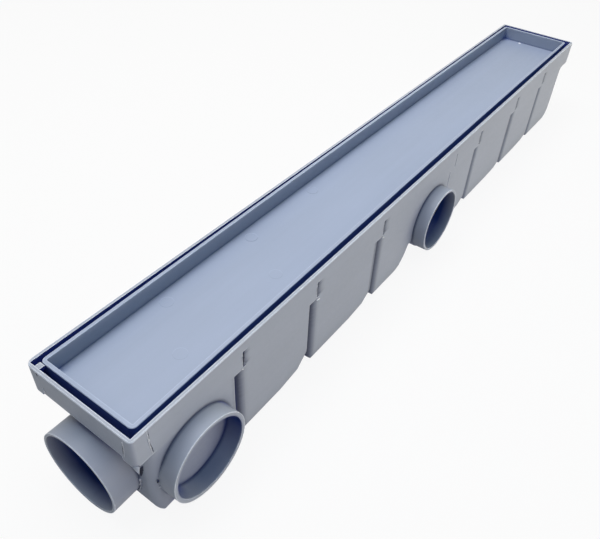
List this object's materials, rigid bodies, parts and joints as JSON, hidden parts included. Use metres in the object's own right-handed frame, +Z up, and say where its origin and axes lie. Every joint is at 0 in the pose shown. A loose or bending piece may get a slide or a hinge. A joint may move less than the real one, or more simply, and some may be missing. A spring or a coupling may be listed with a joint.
{
  "type": "linear channel drain",
  "caption": "Narrow linear shower or floor drain: a deep moulded trough with an end pipe, side outlets and a lift-out tray that hides it under a tile.",
  "frame": {"origin": "middle of the trough's flat underside", "axes": "+X along the channel to its far end, away from the end pipe; -Y out of the side outlets; +Z up to the rim"},
  "size_m": [0.5078, 0.0714, 0.064],
  "materials": {
    "body_plastic": "satin blue-grey moulded plastic",
    "tray_plastic": "satin blue-grey moulded plastic"
  },
  "bodies": {
    "root": {"channel_body": "body_plastic", "tile_tray": "tray_plastic"}
  },
  "joints": []
}
